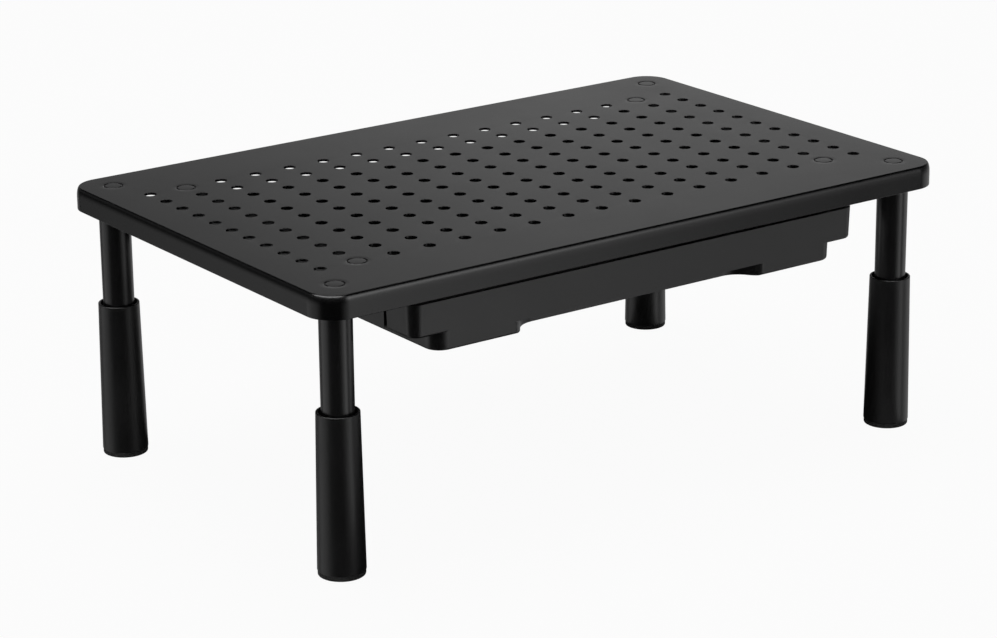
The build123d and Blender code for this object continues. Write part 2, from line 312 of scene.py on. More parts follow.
# %% Finishes
POWDER_COAT = black_finish(
    "powder_coat",
    (0.0020, 0.0020, 0.0022),
    (0.010, 0.010, 0.011),
    0.24,
    0.45 * MM,
    0.004 * MM,
    roughness_spread=0.03,
)
COLUMN_COAT = black_finish(
    "column_coat",
    (0.0070, 0.0070, 0.0074),
    (0.012, 0.012, 0.013),
    0.28,
    0.35 * MM,
    0.006 * MM,
    roughness_spread=0.04,
    specular=0.75,
)
MOULDED_PLASTIC = black_finish(
    "moulded_plastic",
    (0.0030, 0.0030, 0.0032),
    (0.008, 0.008, 0.009),
    0.33,
    0.25 * MM,
    0.006 * MM,
    specular=0.72,
)
SLEEVE_PLASTIC = black_finish(
    "sleeve_plastic",
    (0.0055, 0.0055, 0.0058),
    (0.012, 0.012, 0.013),
    0.34,
    0.25 * MM,
    0.008 * MM,
    specular=0.65,
)
NYLON = black_finish("nylon", (0.012, 0.012, 0.012), (0.02, 0.02, 0.02), 0.5, 0.5 * MM, 0.01 * MM)
RUBBER = black_finish("rubber", (0.010, 0.010, 0.010), (0.02, 0.02, 0.02), 0.75, 0.3 * MM, 0.03 * MM)
ZINC = black_finish(
    "zinc_plate",
    (0.50, 0.51, 0.53),
    (0.68, 0.69, 0.70),
    0.28,
    0.6 * MM,
    0.006 * MM,
    metallic=1.0,
)
SPRING_STEEL = black_finish(
    "spring_steel",
    (0.38, 0.38, 0.39),
    (0.55, 0.55, 0.56),
    0.32,
    0.2 * MM,
    0.004 * MM,
    metallic=1.0,
)
print(len(bpy.data.materials), "materials with the frame's own")

# %% [markdown]
# Outlines. Nearly every piece here is an outline that is turned round an axis or swept along
# a path. Real edges are never knife sharp, so one helper takes an outline's corners, each with
# its own radius, and puts an arc in place of every corner.

# %% Rounded outlines
def rounded_outline(corners, steps=4):
    """Closed outline through corners (x, y, radius), with an arc at each that has a radius."""
    points = []
    for index, (x, y, radius) in enumerate(corners):
        here = Vector((x, y))
        if radius == 0:
            points.append(here)
            continue
        to_before = (Vector(corners[index - 1][:2]) - here).normalized()
        to_after = (Vector(corners[(index + 1) % len(corners)][:2]) - here).normalized()
        half_angle = to_before.angle(to_after) / 2
        centre = here + (to_before + to_after).normalized() * radius / math.sin(half_angle)
        first = here + to_before * radius / math.tan(half_angle) - centre
        last = here + to_after * radius / math.tan(half_angle) - centre
        turn = math.atan2(first.cross(last), first.dot(last))
        for step in range(steps + 1):
            points.append(centre + Matrix.Rotation(turn * step / steps, 2) @ first)
    return points


def mesh_object(name, vertices, faces):
    """A new object from points and faces."""
    mesh = bpy.data.meshes.new(name)
    mesh.from_pydata([tuple(vertex) for vertex in vertices], [], faces)
    made = bpy.data.objects.new(name, mesh)
    bpy.context.scene.collection.objects.link(made)
    return made


# %% Turned pieces
def turned_rings(outline, spot, segments, first_index=0):
    """Vertices and faces of a closed outline (radius, height) turned round a vertical axis."""
    vertices, faces = [], []
    count = len(outline)
    for segment in range(segments):
        angle = math.tau * segment / segments
        across = Vector((math.cos(angle), math.sin(angle), 0.0))
        for point in outline:
            vertices.append(Vector(spot) + across * point[0] + Vector((0, 0, point[1])))
    for segment in range(segments):
        this_ring = first_index + segment * count
        next_ring = first_index + (segment + 1) % segments * count
        for index in range(count):
            after = (index + 1) % count
            faces.append((this_ring + index, next_ring + index, next_ring + after, this_ring + after))
    return vertices, faces


def turned_piece(name, outline, spots, segments=96):
    """One object that holds the turned outline at each spot."""
    vertices, faces = [], []
    for spot in spots:
        more_vertices, more_faces = turned_rings(outline, spot, segments, len(vertices))
        vertices += more_vertices
        faces += more_faces
    return mesh_object(name, vertices, faces)


# %% [markdown]
# Finishing a piece is the same job each time. Vertices that meet are merged, which also
# closes the pole of a turned solid. The normals are made to point outwards. The faces are
# shaded smooth up to an angle, and a Weighted Normal modifier keeps the large flats flat and
# puts all the bending of the light into the small arcs beside them. Then the piece gets its
# finish, rides on its body, and the imported nodes it stands for are hidden.

# %% Finish a piece
MERGE_REACH = 0.002 * MM
SHARP_ANGLE = math.radians(40)


def baked(made):
    """The object with its modifiers turned into plain mesh."""
    depsgraph = bpy.context.evaluated_depsgraph_get()
    mesh = bpy.data.meshes.new_from_object(made.evaluated_get(depsgraph))
    made.modifiers.clear()
    made.data = mesh
    return made


def clean_mesh(made):
    """Merge the points that meet, drop what collapsed and turn all faces outwards."""
    mesh = bmesh.new()
    mesh.from_mesh(made.data)
    bmesh.ops.remove_doubles(mesh, verts=mesh.verts, dist=MERGE_REACH)
    bmesh.ops.dissolve_degenerate(mesh, edges=mesh.edges, dist=MERGE_REACH)
    bmesh.ops.recalc_face_normals(mesh, faces=mesh.faces)
    open_edges = sum(not edge.is_manifold for edge in mesh.edges)
    mesh.to_mesh(made.data)
    mesh.free()
    return open_edges


def finish_piece(made, material, body, nodes):
    """Clean, shade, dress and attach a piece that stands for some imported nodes."""
    open_edges = clean_mesh(made)
    made.data.shade_smooth()
    made.data.set_sharp_from_angle(angle=SHARP_ANGLE)
    weighted = made.modifiers.new("flats_stay_flat", "WEIGHTED_NORMAL")
    weighted.keep_sharp = True
    baked(made)
    made.data.materials.clear()
    made.data.materials.append(material)
    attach(made, body)
    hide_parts(*nodes)
    print(made.name, len(made.data.polygons), "faces,", open_edges, "open edges")
    return made


# %% [markdown]
# The platform. On the real stand it is one sheet: the holes are punched, the edges are bent
# down into a skirt and the corners are drawn round. It could be cut out of a block with
# booleans, but those leave long thin faces that shade badly round every hole. Here it is made
# as it is thought of. The bent rim is one section swept round the plan. A Geometry Nodes tree
# then fills the top and the underside between the rim and the holes, and sets one small
# punched lip into each hole. All the parts share their border points, so they merge into one
# closed sheet.

# %% Sizes of the sheet
SHEET = 1.2 * MM
PLATE_CORNER = 14.5 * MM
CORNER_STEPS = 20
BEND = 1.5 * MM
BEND_DROP = 5.0 * MM
BEND_STEPS = 12
CUT_EDGE_ROUND = 0.3 * MM
UNDERSIDE = DESK_TO_TOP - SHEET
SKIRT_FOOT = plate_low.z

VENT_RADIUS = 3.0 * MM
VENT_LIP = 0.20 * MM
VENT_SEGMENTS = 24
VENT_COLUMNS = 17
VENT_ROWS = 11
VENT_MARGIN_SIDE = 23.8 * MM
VENT_MARGIN_FRONT = 40.05 * MM
VENT_MARGIN_REAR = 42.45 * MM

HEAD_RADIUS = 4.4 * MM
HEAD_DEPTH = 0.8 * MM
HEAD_SEAM = 0.30 * MM
DISH_REACH = 2.4 * MM
DISH_DEPTH = 0.05 * MM
DISH_STEPS = 6
STUD_RADIUS = 2.5 * MM
HEAD_SEGMENTS = 64

vent_front = plate_low.y + VENT_MARGIN_FRONT
vent_rear = plate_high.y - VENT_MARGIN_REAR
vent_pitch_x = (plate_high.x - plate_low.x - 2 * VENT_MARGIN_SIDE) / (VENT_COLUMNS - 1)
vent_pitch_y = (vent_rear - vent_front) / (VENT_ROWS - 1)
column_middles = [node_middle(corner + "_column") for corner in CORNERS]
leg_spots = [Vector((middle.x, middle.y, 0)) for middle in column_middles]
rail_stud_low, rail_stud_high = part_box("rail_studs")
rail_stud_x = rail_stud_high.x - HEAD_RADIUS
rail_spots = [Vector((side * rail_stud_x, y, 0)) for side in (-1, 1) for y in (vent_front, vent_rear)]
print("vent pitch", round(vent_pitch_x / MM, 2), "by", round(vent_pitch_y / MM, 2), "mm")


# %% The bent rim
def rounded_plan(width, depth, corner, steps):
    """Points round a rectangle with round corners, each with its outward direction."""
    path = []
    for quarter, (side_x, side_y) in enumerate(((1, 1), (-1, 1), (-1, -1), (1, -1))):
        centre = Vector((side_x * (width / 2 - corner), side_y * (depth / 2 - corner)))
        for step in range(steps + 1):
            angle = (quarter + step / steps) * math.pi / 2
            outward = Vector((math.cos(angle), math.sin(angle)))
            path.append((centre + corner * outward, outward))
    return path


def bend_arc(reach, drop, top, steps):
    """A quarter of an ellipse from the flat top out and down to the skirt."""
    turns = [math.pi / 2 * step / steps for step in range(steps + 1)]
    return [(reach * math.sin(turn), top - drop * (1 - math.cos(turn))) for turn in turns]


def sheet_rim_section():
    """Section of the bend and skirt: distance out from the flat's border, and height."""
    skirt = rounded_outline(
        [
            (BEND, UNDERSIDE, 0),
            (BEND, SKIRT_FOOT, CUT_EDGE_ROUND),
            (BEND - SHEET, SKIRT_FOOT, CUT_EDGE_ROUND),
            (BEND - SHEET, UNDERSIDE, 0),
        ],
    )
    outside = bend_arc(BEND, BEND_DROP, DESK_TO_TOP, BEND_STEPS)
    inside = bend_arc(BEND - SHEET, BEND - SHEET, UNDERSIDE, BEND_STEPS // 2)
    return outside + skirt[1:-1] + inside[::-1]


plate_width = plate_high.x - plate_low.x
plate_depth = plate_high.y - plate_low.y
flat_plan = rounded_plan(
    plate_width - 2 * BEND, plate_depth - 2 * BEND, PLATE_CORNER - BEND, CORNER_STEPS
)
rim_section = sheet_rim_section()
rim_vertices = []
for place, outward in flat_plan:
    for out, height in rim_section:
        rim_vertices.append((*(place + outward * out), height))
rim_faces = []
for ring in range(len(flat_plan)):
    this_ring = ring * len(rim_section)
    next_ring = (ring + 1) % len(flat_plan) * len(rim_section)
    for index in range(len(rim_section) - 1):
        after = index + 1
        rim_faces.append((this_ring + index, next_ring + index, next_ring + after, this_ring + after))
sheet = mesh_object("pressed_sheet", rim_vertices, rim_faces)
print("rim", len(rim_vertices), "points")


# %% Punched lips
def open_ring(name, outline, segments):
    """An open turned strip round the origin, for setting into a hole."""
    vertices, faces = [], []
    for segment in range(segments):
        angle = math.tau * segment / segments
        for radius, height in outline:
            vertices.append((radius * math.cos(angle), radius * math.sin(angle), height))
    count = len(outline)
    for segment in range(segments):
        this_ring = segment * count
        next_ring = (segment + 1) % segments * count
        for index in range(count - 1):
            after = index + 1
            faces.append((this_ring + index, this_ring + after, next_ring + after, next_ring + index))
    return mesh_object(name, vertices, faces)


lip_middle = VENT_LIP * (1 - math.sqrt(0.5))
vent_lip = open_ring(
    "vent_lip",
    [
        (VENT_RADIUS + VENT_LIP, DESK_TO_TOP),
        (VENT_RADIUS + lip_middle, DESK_TO_TOP - lip_middle),
        (VENT_RADIUS, DESK_TO_TOP - VENT_LIP),
        (VENT_RADIUS, UNDERSIDE),
    ],
    VENT_SEGMENTS,
)
upper_seat_radius = HEAD_RADIUS + 2 * HEAD_SEAM + DISH_REACH
lower_seat_radius = STUD_RADIUS + HEAD_SEAM / 4
dish = []
for step in range(DISH_STEPS + 1):
    share = step / DISH_STEPS
    radius = HEAD_RADIUS + 2 * HEAD_SEAM + DISH_REACH * (1 - share)
    dish.append((radius, DESK_TO_TOP - DISH_DEPTH * (1 - math.cos(math.pi * share)) / 2))
head_top = DESK_TO_TOP - DISH_DEPTH
head_seat = open_ring(
    "head_seat",
    dish
    + [
        (HEAD_RADIUS + HEAD_SEAM, head_top - HEAD_SEAM / 2),
        (HEAD_RADIUS + HEAD_SEAM / 4, head_top - 2 * HEAD_SEAM),
        (HEAD_RADIUS + HEAD_SEAM / 4, DESK_TO_TOP - HEAD_DEPTH),
        (lower_seat_radius, DESK_TO_TOP - HEAD_DEPTH),
        (lower_seat_radius, UNDERSIDE),
    ],
    HEAD_SEGMENTS,
)
flat_border = mesh_object("flat_border", [], [])
border_bmesh = bmesh.new()
border_points = [border_bmesh.verts.new((*place, 0.0)) for place, _ in flat_plan]
for index, point in enumerate(border_points):
    border_bmesh.edges.new((point, border_points[(index + 1) % len(border_points)]))
bmesh.ops.remove_doubles(border_bmesh, verts=border_bmesh.verts, dist=MERGE_REACH / 2)
border_bmesh.to_mesh(flat_border.data)
border_bmesh.free()
stud_places = mesh_object("stud_places", leg_spots + rail_spots, [])
print("lips:", len(vent_lip.data.polygons), "faces on each vent")

# %% [markdown]
# The tree below is the punching tool. A grid of points stands for the holes, and the points
# that would fall on a rail stud are deleted. A circle on each point, the circles of the stud
# heads and the border of the flat go into one Fill Curve, which leaves the circles open. The
# fill is used twice, the second time flipped for the underside.


# %% Tree helpers
def tree_input(tree, name, kind, value=None):
    """A named input of a Geometry Nodes tree; returns its identifier for the modifier."""
    socket = tree.interface.new_socket(name=name, in_out="INPUT", socket_type=kind)
    if value is not None:
        socket.default_value = value
    return socket.identifier


def add_node(tree, kind, links=(), values=(), **settings):
    """A node with its settings, its links (socket name, source) and its values."""
    node = tree.nodes.new(kind)
    for setting, value in settings.items():
        setattr(node, setting, value)
    for socket, source in links:
        tree.links.new(source, node.inputs[socket])
    for socket, value in values:
        node.inputs[socket].default_value = value
    return node


# %% Tree: perforate the sheet
def build_perforation_tree():
    """Fills a bent rim with a perforated top and underside."""
    tree = bpy.data.node_groups.new("perforate_sheet", "GeometryNodeTree")
    tree.interface.new_socket(name="Geometry", in_out="OUTPUT", socket_type="NodeSocketGeometry")
    tree.interface.new_socket(name="Geometry", in_out="INPUT", socket_type="NodeSocketGeometry")
    inputs = {
        name: tree_input(tree, name, kind)
        for name, kind in (
            ("Columns", "NodeSocketInt"),
            ("Rows", "NodeSocketInt"),
            ("Pitch X", "NodeSocketFloat"),
            ("Pitch Y", "NodeSocketFloat"),
            ("Middle Y", "NodeSocketFloat"),
            ("Stud X", "NodeSocketFloat"),
            ("Hole Radius", "NodeSocketFloat"),
            ("Hole Segments", "NodeSocketInt"),
            ("Upper Seat Radius", "NodeSocketFloat"),
            ("Lower Seat Radius", "NodeSocketFloat"),
            ("Seat Segments", "NodeSocketInt"),
            ("Top", "NodeSocketFloat"),
            ("Underside", "NodeSocketFloat"),
            ("Border", "NodeSocketObject"),
            ("Lip", "NodeSocketObject"),
            ("Seat", "NodeSocketObject"),
            ("Stud Places", "NodeSocketObject"),
            ("Material", "NodeSocketMaterial"),
        )
    }
    source = tree.nodes.new("NodeGroupInput").outputs
    result = tree.nodes.new("NodeGroupOutput")

    def calc(operation, first, second=None):
        return math_node(tree, operation, first, second)

    span_x = calc("MULTIPLY", source["Pitch X"], calc("SUBTRACT", source["Columns"], 1.0))
    span_y = calc("MULTIPLY", source["Pitch Y"], calc("SUBTRACT", source["Rows"], 1.0))
    grid = add_node(
        tree,
        "GeometryNodeMeshGrid",
        [
            ("Size X", span_x),
            ("Size Y", span_y),
            ("Vertices X", source["Columns"]),
            ("Vertices Y", source["Rows"]),
        ],
    )
    # a hole gives way to a rail stud in the first and last row
    place = add_node(tree, "GeometryNodeInputPosition").outputs["Position"]
    position = add_node(tree, "ShaderNodeSeparateXYZ", [("Vector", place)])
    beside = calc("ABSOLUTE", calc("SUBTRACT", calc("ABSOLUTE", position.outputs["X"]), source["Stud X"]))
    near_x = calc("LESS_THAN", beside, calc("DIVIDE", source["Pitch X"], 2.0))
    inner_reach = calc("DIVIDE", calc("SUBTRACT", span_y, source["Pitch Y"]), 2.0)
    outer_row = calc("GREATER_THAN", calc("ABSOLUTE", position.outputs["Y"]), inner_reach)
    holes = add_node(
        tree,
        "GeometryNodeDeleteGeometry",
        [("Geometry", grid.outputs["Mesh"]), ("Selection", calc("MULTIPLY", near_x, outer_row))],
        domain="POINT",
    )
    shift = add_node(tree, "ShaderNodeCombineXYZ", [("Y", source["Middle Y"])])
    vents = add_node(
        tree,
        "GeometryNodeSetPosition",
        [("Geometry", holes.outputs["Geometry"]), ("Offset", shift.outputs["Vector"])],
    ).outputs["Geometry"]

    def placed_object(name):
        node = add_node(tree, "GeometryNodeObjectInfo", [("Object", source[name])])
        return node.outputs["Geometry"]

    def circles_on(points, radius, segments):
        circle = add_node(
            tree, "GeometryNodeCurvePrimitiveCircle", [("Resolution", segments), ("Radius", radius)]
        )
        copies = add_node(
            tree, "GeometryNodeInstanceOnPoints", [("Points", points), ("Instance", circle.outputs["Curve"])]
        )
        real = add_node(tree, "GeometryNodeRealizeInstances", [("Geometry", copies.outputs["Instances"])])
        return real.outputs["Geometry"]

    border = add_node(tree, "GeometryNodeMeshToCurve", [("Mesh", placed_object("Border"))]).outputs["Curve"]
    studs = placed_object("Stud Places")
    vent_circles = circles_on(vents, source["Hole Radius"], source["Hole Segments"])

    def filled(seat_radius, height, flipped):
        seats = circles_on(studs, seat_radius, source["Seat Segments"])
        joined = add_node(tree, "GeometryNodeJoinGeometry")
        for part in (border, vent_circles, seats):
            tree.links.new(part, joined.inputs["Geometry"])
        fill = add_node(tree, "GeometryNodeFillCurve", [("Curve", joined.outputs["Geometry"])])
        face = fill.outputs["Mesh"]
        if flipped:
            face = add_node(tree, "GeometryNodeFlipFaces", [("Mesh", face)]).outputs["Mesh"]
        lift = add_node(tree, "ShaderNodeCombineXYZ", [("Z", height)])
        return add_node(
            tree, "GeometryNodeSetPosition", [("Geometry", face), ("Offset", lift.outputs["Vector"])]
        ).outputs["Geometry"]

    lips = add_node(
        tree, "GeometryNodeInstanceOnPoints", [("Points", vents), ("Instance", placed_object("Lip"))]
    ).outputs["Instances"]
    seats = add_node(
        tree, "GeometryNodeInstanceOnPoints", [("Points", studs), ("Instance", placed_object("Seat"))]
    ).outputs["Instances"]
    joined = add_node(tree, "GeometryNodeJoinGeometry")
    parts = (
        source["Geometry"],
        filled(source["Upper Seat Radius"], source["Top"], False),
        filled(source["Lower Seat Radius"], source["Underside"], True),
        lips,
        seats,
    )
    for part in parts:
        tree.links.new(part, joined.inputs["Geometry"])
    real = add_node(tree, "GeometryNodeRealizeInstances", [("Geometry", joined.outputs["Geometry"])])
    dressed = add_node(
        tree,
        "GeometryNodeSetMaterial",
        [("Geometry", real.outputs["Geometry"]), ("Material", source["Material"])],
    )
    tree.links.new(dressed.outputs["Geometry"], result.inputs["Geometry"])
    return tree, inputs


def grown(made, tree, inputs, values):
    """Run a tree on an object with these input values and keep the result as plain mesh."""
    modifier = made.modifiers.new(tree.name, "NODES")
    modifier.node_group = tree
    for name, value in values.items():
        modifier[inputs[name]] = value
    made.update_tag()
    return baked(made)


# %% Perforate the sheet
tree, inputs = build_perforation_tree()
grown(
    sheet,
    tree,
    inputs,
    {
        "Columns": VENT_COLUMNS,
        "Rows": VENT_ROWS,
        "Pitch X": vent_pitch_x,
        "Pitch Y": vent_pitch_y,
        "Middle Y": (vent_front + vent_rear) / 2,
        "Stud X": rail_stud_x,
        "Hole Radius": VENT_RADIUS + VENT_LIP,
        "Hole Segments": VENT_SEGMENTS,
        "Upper Seat Radius": upper_seat_radius,
        "Lower Seat Radius": lower_seat_radius,
        "Seat Segments": HEAD_SEGMENTS,
        "Top": DESK_TO_TOP,
        "Underside": UNDERSIDE,
        "Border": flat_border,
        "Lip": vent_lip,
        "Seat": head_seat,
        "Stud Places": stud_places,
        "Material": POWDER_COAT,
    },
)
for helper in (flat_border, vent_lip, head_seat, stud_places):
    bpy.data.objects.remove(helper)
finish_piece(sheet, POWDER_COAT, "stand", ["platform"])

# %% [markdown]
# The studs are pressed into the sheet and coated over with it, so on the real stand only a
# faint ring shows where each head ends. The press leaves a very shallow dish in the sheet,
# which is enough to bend a reflection. The coat softens both edges of the seam: a small round
# on the head and a slope on its seat make a narrow valley that stays dark.


# %% Stud heads
HEAD_FOOT_ROUND = 0.1 * MM
STUD_END_ROUND = 0.5 * MM


def stud_outline(length):
    """Half section of a pressed stud from the axis out: flat head, plain shank, blunt end."""
    head_foot = DESK_TO_TOP - HEAD_DEPTH
    return rounded_outline(
        [
            (0.0, head_top, 0),
            (HEAD_RADIUS, head_top, HEAD_SEAM * 1.5),
            (HEAD_RADIUS, head_foot, HEAD_FOOT_ROUND),
            (STUD_RADIUS, head_foot, 0),
            (STUD_RADIUS, head_foot - length, STUD_END_ROUND),
            (0.0, head_foot - length, 0),
        ]
    )


for name, spots in (("leg_studs", leg_spots), ("rail_studs", rail_spots)):
    stud_low, stud_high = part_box(name)
    length = DESK_TO_TOP - HEAD_DEPTH - stud_low.z
    studs = turned_piece("coated_" + name, stud_outline(length), spots, HEAD_SEGMENTS)
    finish_piece(studs, POWDER_COAT, "stand", [name])

# %% [markdown]
# The legs. Each is a slim coated tube that stands in a wider moulded sleeve, and both are
# turned forms, so each is one half section turned round the leg's axis. The sleeve tapers, has
# a bore with one groove for each height, and a mouth whose rim is only a millimetre wide. Its
# mouth is open, so a dark gap shows round the column, as on the real one.

# %% Leg sizes from the frame
COLUMN_WALL = 1.2 * MM
COLUMN_END_ROUND = 0.2 * MM
SLEEVE_BORE_RADIUS = 9.2 * MM
SLEEVE_TOP_RADIUS = 10.3 * MM
SLEEVE_RIM_ROUND = 0.4 * MM
SLEEVE_FOOT_ROUND = 0.3 * MM
SLEEVE_BORE_ROUND = 0.2 * MM
SLEEVE_SEGMENTS = 128
GROOVE_DEPTH = 0.35 * MM
GROOVE_WIDTH = 2.5 * MM
COLLAR_GROOVE = 0.4 * MM
LEG_STEP = 20 * MM
LEG_HEIGHTS = 3


def column_outline(low, high):
    """Half section of the tube with its cut ends broken."""
    outer = (high.x - low.x) / 2
    inner = outer - COLUMN_WALL
    return rounded_outline(
        [
            (inner, low.z, COLUMN_END_ROUND),
            (outer, low.z, COLUMN_END_ROUND),
            (outer, high.z, COLUMN_END_ROUND),
            (inner, high.z, COLUMN_END_ROUND),
        ],
        steps=3,
    )


def sleeve_outline(low, high, ring_height, collar_low, collar_high):
    """Half section of the tapered sleeve, with its grooves for the ring and the collar."""
    base_radius = (high.x - low.x) / 2
    bore = SLEEVE_BORE_RADIUS
    corners = [
        (bore, low.z, SLEEVE_BORE_ROUND),
        (base_radius, low.z, SLEEVE_FOOT_ROUND),
        (SLEEVE_TOP_RADIUS, high.z, SLEEVE_RIM_ROUND),
        (bore, high.z, SLEEVE_RIM_ROUND),
        (bore, collar_high, 0),
        (bore + COLLAR_GROOVE, collar_high, 0),
        (bore + COLLAR_GROOVE, collar_low, 0),
        (bore, collar_low, 0),
    ]
    for step in range(LEG_HEIGHTS):
        middle = ring_height - step * LEG_STEP
        corners += [
            (bore, middle + GROOVE_WIDTH / 2, 0),
            (bore + GROOVE_DEPTH, middle + GROOVE_WIDTH / 2, 0),
            (bore + GROOVE_DEPTH, middle - GROOVE_WIDTH / 2, 0),
            (bore, middle - GROOVE_WIDTH / 2, 0),
        ]
    return rounded_outline(corners)


for corner, spot in zip(CORNERS, leg_spots):
    low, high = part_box(corner + "_column")
    column = turned_piece(corner + "_tube", column_outline(low, high), [spot])
    finish_piece(column, COLUMN_COAT, "stand", [corner + "_column"])

    low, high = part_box(corner + "_sleeve")
    ring_height = node_middle(corner + "_detent_ring").z
    collar_low, collar_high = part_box(corner + "_collar")
    outline = sleeve_outline(low, high, ring_height, collar_low.z, collar_high.z)
    sleeve = turned_piece(corner + "_outer_sleeve", outline, [spot], SLEEVE_SEGMENTS)
    finish_piece(sleeve, SLEEVE_PLASTIC, corner + "_lower_leg", [corner + "_sleeve"])


# %% Feet
FOOT_DISC = 2.5 * MM
FOOT_EDGE_ROUND = 0.6 * MM
FOOT_TOP_ROUND = 0.1 * MM
FOOT_GROOVE_DEPTH = 0.5 * MM
FOOT_GROOVE_ROUND = 0.2 * MM
FOOT_GROOVE_OUTER = 0.72
FOOT_GROOVE_INNER = 0.5
SPIGOT_ROUND = 0.4 * MM
SPIGOT_GAP = 0.03 * MM


def foot_outline(low, high):
    """Half section of the rubber plug: a disc with a shallow ring groove and its spigot."""
    radius = (high.x - low.x) / 2
    disc_top = low.z + FOOT_DISC
    groove_top = low.z + FOOT_GROOVE_DEPTH
    groove_outer = FOOT_GROOVE_OUTER * radius
    groove_inner = FOOT_GROOVE_INNER * radius
    spigot_radius = SLEEVE_BORE_RADIUS - SPIGOT_GAP
    return rounded_outline(
        [
            (0.0, low.z, 0),
            (groove_inner, low.z, FOOT_GROOVE_ROUND),
            (groove_inner, groove_top, FOOT_GROOVE_ROUND),
            (groove_outer, groove_top, FOOT_GROOVE_ROUND),
            (groove_outer, low.z, FOOT_GROOVE_ROUND),
            (radius, low.z, FOOT_EDGE_ROUND),
            (radius, disc_top, FOOT_TOP_ROUND),
            (spigot_radius, disc_top, 0),
            (spigot_radius, high.z, SPIGOT_ROUND),
            (0.0, high.z, 0),
        ]
    )


for corner, spot in zip(CORNERS, leg_spots):
    low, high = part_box(corner + "_foot")
    foot = turned_piece(corner + "_rubber_foot", foot_outline(low, high), [spot], SLEEVE_SEGMENTS)
    finish_piece(foot, RUBBER, corner + "_lower_leg", [corner + "_foot"])

# %% [markdown]
# The drawer and its rails are mouldings, and their shape is already right in the frame: it is
# only too sharp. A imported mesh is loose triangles, so each piece is made from a copy of it.
# The copy's points are merged and its flats are joined into single faces. Then a Bevel
# modifier rounds every edge that a mould would round, by a third of a millimetre.

# %% Mouldings
MOULD_ROUND = 0.35 * MM
MOULD_STEPS = 3
MOULD_ANGLE = math.radians(35)
FLAT_ANGLE = math.radians(0.5)


def moulded_copy(name, node, body):
    """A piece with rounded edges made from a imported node, which it stands for."""
    mesh = bmesh.new()
    mesh.from_mesh(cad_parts[node].data)
    bmesh.ops.remove_doubles(mesh, verts=mesh.verts, dist=MERGE_REACH)
    bmesh.ops.dissolve_limit(mesh, angle_limit=FLAT_ANGLE, verts=mesh.verts, edges=mesh.edges)
    data = bpy.data.meshes.new(name)
    mesh.to_mesh(data)
    mesh.free()
    made = bpy.data.objects.new(name, data)
    bpy.context.scene.collection.objects.link(made)
    bevel = made.modifiers.new("mould_round", "BEVEL")
    bevel.width = MOULD_ROUND
    bevel.segments = MOULD_STEPS
    bevel.limit_method = "ANGLE"
    bevel.angle_limit = MOULD_ANGLE
    baked(made)
    return finish_piece(made, MOULDED_PLASTIC, body, [node])


moulded_copy("pull_out_tray", "drawer", "drawer")
moulded_copy("left_channel", "left_rail", "stand")
moulded_copy("right_channel", "right_rail", "stand")

# %% [markdown]
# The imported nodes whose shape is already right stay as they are, and only get a finish.

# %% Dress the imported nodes
def dress(node, material):
    """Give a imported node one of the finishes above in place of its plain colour."""
    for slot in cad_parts[node].material_slots:
        slot.material = material


dress("rail_nuts", ZINC)
for corner in CORNERS:
    for piece, material in (
        ("column_insert", NYLON),
        ("guide_bush", NYLON),
        ("collar", NYLON),
        ("detent_ring", SPRING_STEEL),
    ):
        dress(corner + "_" + piece, material)
print("dressed", sum(1 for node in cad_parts.values() if not node.hide_render), "packed nodes")

# %% [markdown]
# The studio. A black satin surface shows almost nothing of its own colour: what the eye reads
# on it is the room. So the room is laid out as a product photographer would do it. The floor
# is white for the camera and keeps the stand's shadow, and it is hidden from reflections. What
# the coats reflect is the world, which is laid out by direction and not as objects.

# %% Background helpers
WHITE = 1.0


def seen_rays(tree):
    """The light path, and a mask of the rays from the camera, in reflections and through glass."""
    path = tree.nodes.new("ShaderNodeLightPath")
    straight = math_node(tree, "MAXIMUM", path.outputs["Is Camera Ray"], path.outputs["Is Glossy Ray"])
    return path, math_node(tree, "MAXIMUM", straight, path.outputs["Is Transmission Ray"])


# %% Floor
FLOOR_HALF = 6.0
FLOOR_ALBEDO = 0.8
SHADOW_SHARE = 0.05


def pale_floor_finish():
    """A white floor that keeps a part of its true shade, and so the shadow of the stand."""
    finish = bpy.data.materials.new("pale_floor")
    finish.use_nodes = True
    tree = finish.node_tree
    tree.nodes.clear()
    diffuse = tree.nodes.new("ShaderNodeBsdfDiffuse")
    diffuse.inputs["Color"].default_value = (FLOOR_ALBEDO, FLOOR_ALBEDO, FLOOR_ALBEDO, 1.0)
    glow = tree.nodes.new("ShaderNodeEmission")
    glow.inputs["Color"].default_value = (WHITE, WHITE, WHITE, 1.0)
    mix = tree.nodes.new("ShaderNodeMixShader")
    _, seen = seen_rays(tree)
    tree.links.new(math_node(tree, "MULTIPLY", seen, 1.0 - SHADOW_SHARE), mix.inputs["Fac"])
    tree.links.new(diffuse.outputs["BSDF"], mix.inputs[1])
    tree.links.new(glow.outputs["Emission"], mix.inputs[2])
    output = tree.nodes.new("ShaderNodeOutputMaterial")
    tree.links.new(mix.outputs["Shader"], output.inputs["Surface"])
    return finish


floor = mesh_object(
    "floor",
    [(x * FLOOR_HALF, y * FLOOR_HALF, 0.0) for x, y in ((-1, -1), (1, -1), (1, 1), (-1, 1))],
    [(0, 1, 2, 3)],
)
floor.data.materials.append(pale_floor_finish())
floor.visible_glossy = False
print("floor", round(2 * FLOOR_HALF), "m wide")

# %% [markdown]
# The world is a stack of rings, each one a ramp that runs once round the studio, from behind
# the stand over the left, the front and the right. A stop on a ramp is an angle, with the
# camera's side at zero, and how bright a card is there. The floor ring gives the skirt and
# the drawer their even grey. The wall ring and the upper ring draw the light line along the
# front bend, and at the back the upper ring is the sheen on the top. Over them is a dark
# ceiling, which makes the black line of each bend, and one high card draws the bright arc on
# the near corner. Where a ring starts and ends is a height: the upward part of a direction
# of length one.

